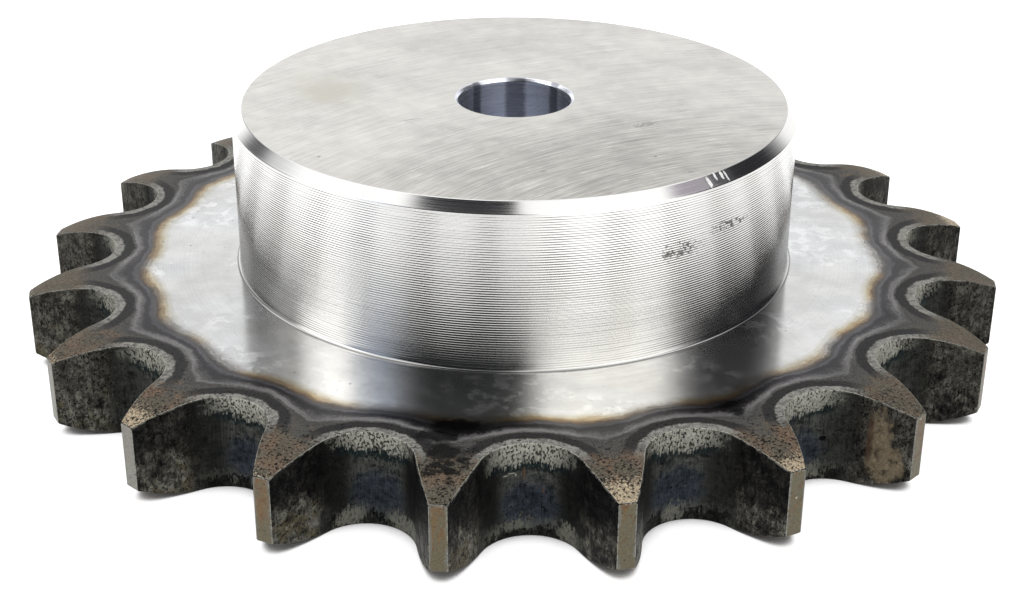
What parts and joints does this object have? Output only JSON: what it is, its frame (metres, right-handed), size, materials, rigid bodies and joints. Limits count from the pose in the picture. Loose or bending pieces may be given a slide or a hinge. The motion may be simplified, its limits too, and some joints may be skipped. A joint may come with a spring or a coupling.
{
  "type": "chain sprocket",
  "caption": "One-piece steel sprocket: a toothed plate that drives a roller chain, with a plain round hub on one side and a bore for a shaft.",
  "frame": {"origin": "on the bore's axis, in the plane of the plate's back face", "axes": "+Z along the bore, from the plate towards the hub's end; +X through the middle of one tooth"},
  "size_m": [0.175, 0.175, 0.045],
  "materials": {
    "steel": "turned steel, with teeth hardened and tinted by heat"
  },
  "bodies": {
    "root": {"sprocket": "steel"}
  },
  "joints": []
}
